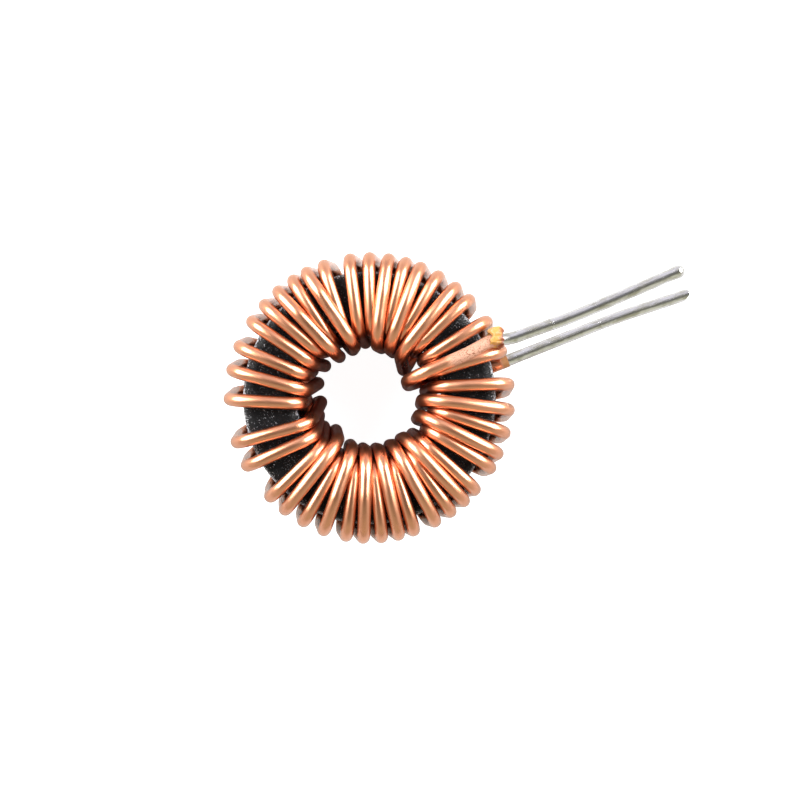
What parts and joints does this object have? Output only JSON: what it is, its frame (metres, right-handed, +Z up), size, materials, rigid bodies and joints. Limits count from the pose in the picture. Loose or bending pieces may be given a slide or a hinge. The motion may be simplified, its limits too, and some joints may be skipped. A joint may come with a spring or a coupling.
{
  "type": "toroidal inductor",
  "caption": "Ring-shaped inductor: stiff enamelled copper wire wound through and round a black coated ring, with both tinned leads leaving on one side, one low and one high.",
  "frame": {"origin": "on the ring's axis, in the plane that the underside of the winding rests on", "axes": "+Z up along the ring's axis, +X out along both leads, +Y to the left of the leads seen from above"},
  "size_m": [0.0414, 0.0242, 0.0116],
  "materials": {
    "core_coating": "rough black epoxy powder coat",
    "enamelled_copper": "copper wire under a clear satin enamel",
    "tinned_copper": "hand-tinned wire, lightly lumpy and drawn along its length",
    "burnt_enamel": "amber to brown heat-lifted enamel"
  },
  "bodies": {
    "root": {"toroid_core": "core_coating", "winding": "enamelled_copper", "start_lead_tinning": "tinned_copper", "finish_lead_tinning": "tinned_copper", "burnt_enamel_collar": "burnt_enamel"}
  },
  "joints": []
}
